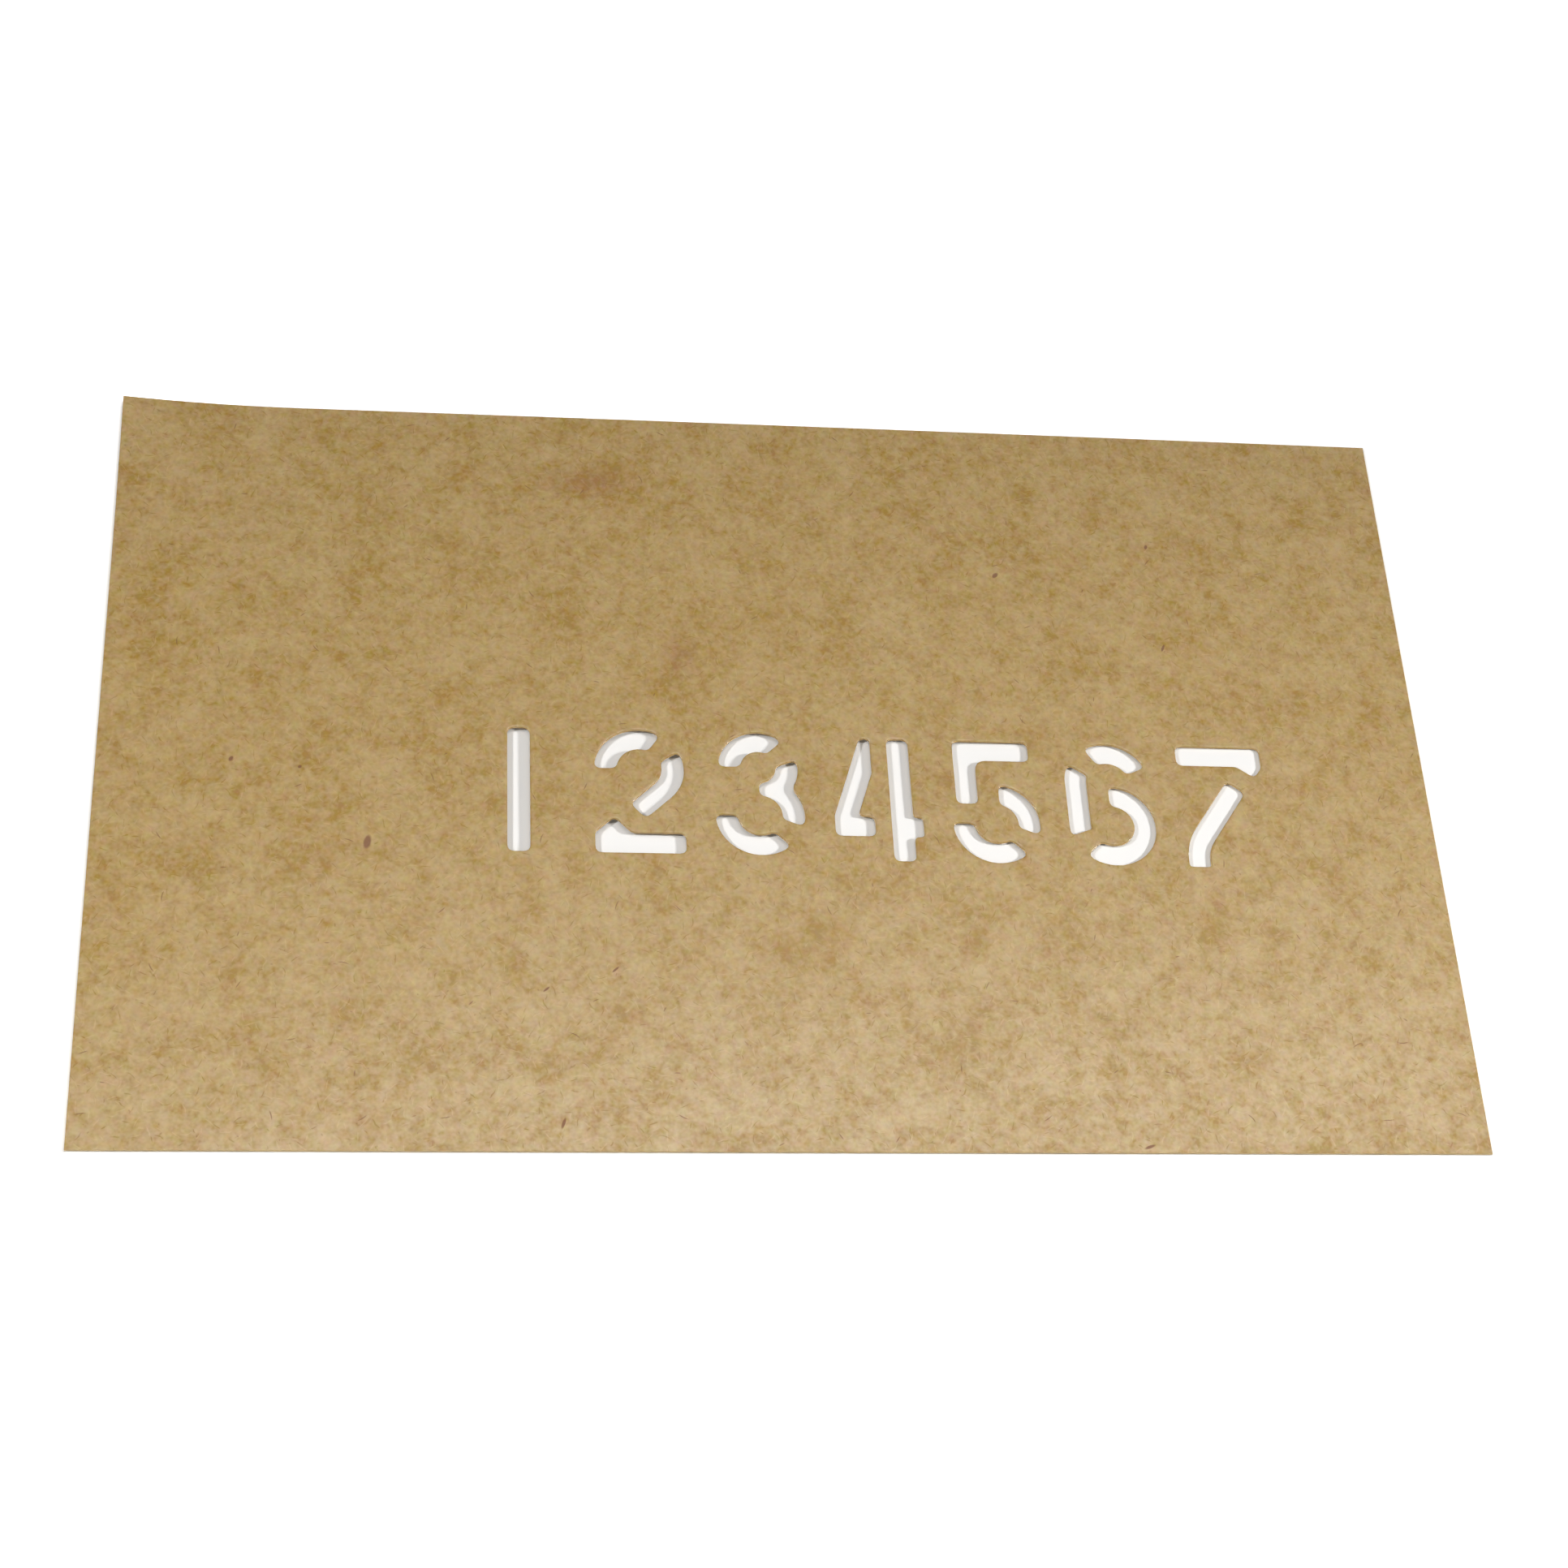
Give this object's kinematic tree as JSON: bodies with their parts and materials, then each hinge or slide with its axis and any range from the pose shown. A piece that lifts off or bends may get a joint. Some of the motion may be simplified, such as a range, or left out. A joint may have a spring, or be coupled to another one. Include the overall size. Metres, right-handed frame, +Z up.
{
  "type": "stencil",
  "caption": "Flat sheet of oiled stencil board with a row of bridged numerals punched through it, for marking cases and crates with a brush or spray.",
  "frame": {"origin": "middle of the sheet's underside", "axes": "+X along the row of numerals, +Y from the foot of the numerals to their top, +Z up out of the face"},
  "size_m": [0.244, 0.1524, 0.0005],
  "materials": {
    "oiled_board": "satin"
  },
  "bodies": {
    "root": {"stencil_sheet": "oiled_board"}
  },
  "joints": []
}
